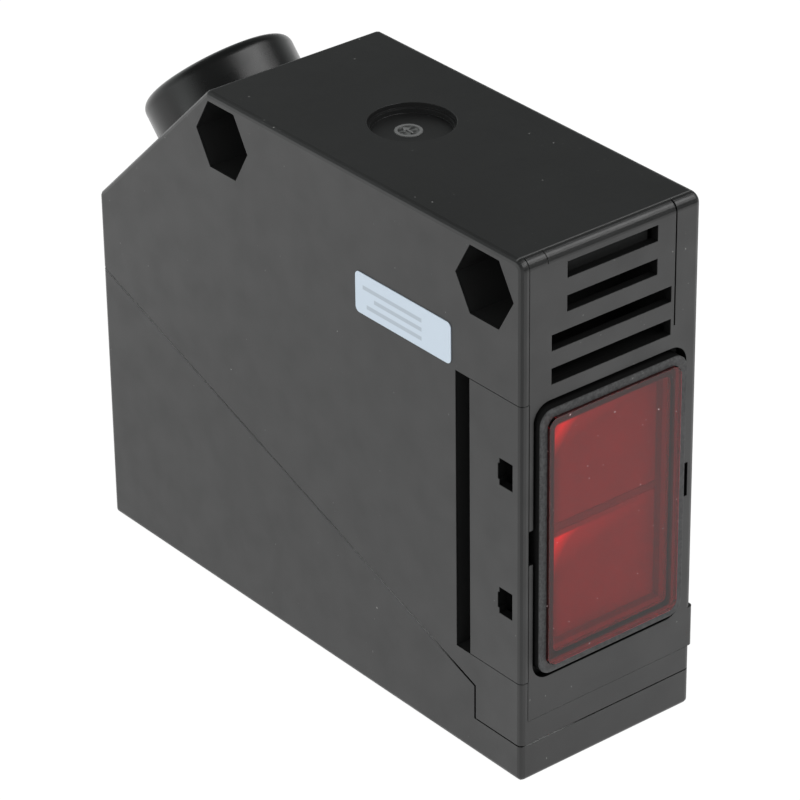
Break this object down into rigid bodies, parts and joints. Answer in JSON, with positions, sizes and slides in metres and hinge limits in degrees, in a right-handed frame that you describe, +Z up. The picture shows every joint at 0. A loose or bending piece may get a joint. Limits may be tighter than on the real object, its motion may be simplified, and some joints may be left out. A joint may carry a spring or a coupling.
{
  "type": "photoelectric sensor",
  "caption": "Block-shaped retroreflective photoelectric sensor with a red front window, sloped cable gland corner and screwed terminal cover.",
  "frame": {"origin": "on the resting face, midway between the two large sides and midway between the optical face's frame plane and the rear face", "axes": "+Z up from the terminal cover to the top face, -Y out of the optical window, -X towards the side with the nut pockets and the label"},
  "size_m": [0.0315, 0.0951, 0.08],
  "materials": {
    "black_body": "fine textured",
    "satin_black": "satin",
    "seal_rubber": "dull",
    "screw_steel": "zinc plated",
    "insert_brass": "machined",
    "window_red": "clear dark red",
    "filter_red": "polished",
    "lens_clear": "clear",
    "board_green": "lacquered",
    "component_dark": "moulded",
    "component_blue": "coated",
    "ferrite": "sintered",
    "coil_tape": "taped",
    "terminal_grey": "moulded",
    "control_white": "moulded",
    "label_pale": "printed film"
  },
  "bodies": {
    "sensor_body": {"housing": "black_body", "terminal_cover": "black_body", "cover_seal": "seal_rubber", "cover_screws": "screw_steel", "threaded_inserts": "insert_brass", "front_frame": "black_body", "window_bezel": "black_body", "window_pane": "window_red", "window_gasket": "seal_rubber", "optics_carrier": "satin_black", "carrier_screws": "screw_steel", "emitter_filter": "filter_red", "receiver_filter": "filter_red", "emitter_lens": "lens_clear", "receiver_lens": "lens_clear", "emitter_led": "lens_clear", "photodiode": "component_dark", "receiver_shield": "screw_steel", "optics_board": "board_green", "optics_board_screws": "screw_steel", "board_header": "insert_brass", "main_board": "board_green", "main_board_screws": "screw_steel", "relay": "component_dark", "transformer_core": "ferrite", "transformer_coil": "coil_tape", "filter_capacitor": "component_blue", "surge_varistor": "component_blue", "control_chip": "component_dark", "terminal_block": "terminal_grey", "terminal_clamps": "screw_steel", "terminal_screws": "screw_steel", "control_board": "board_green", "trimmer_body": "component_blue", "switch_body": "component_dark", "gland_body": "satin_black", "gland_seal": "seal_rubber", "gland_washer": "screw_steel", "gland_screw": "satin_black", "gland_locknut": "satin_black", "type_label": "label_pale"},
    "trimmer_rotor": {"trimmer_rotor": "control_white"},
    "mode_slider": {"switch_slider": "control_white"}
  },
  "joints": [
    {"name": "sensitivity_turn", "type": "hinge", "parent": "sensor_body", "child": "trimmer_rotor", "pos_m": [-0.005, -0.00653, 0.0192], "axis": [0, -0.3437, 0.9391], "range_deg": [-135, 135]},
    {"name": "mode_switch_slide", "type": "slide", "parent": "sensor_body", "child": "mode_slider", "axis": [1, 0, 0], "range_m": [0, 0.002]}
  ]
}
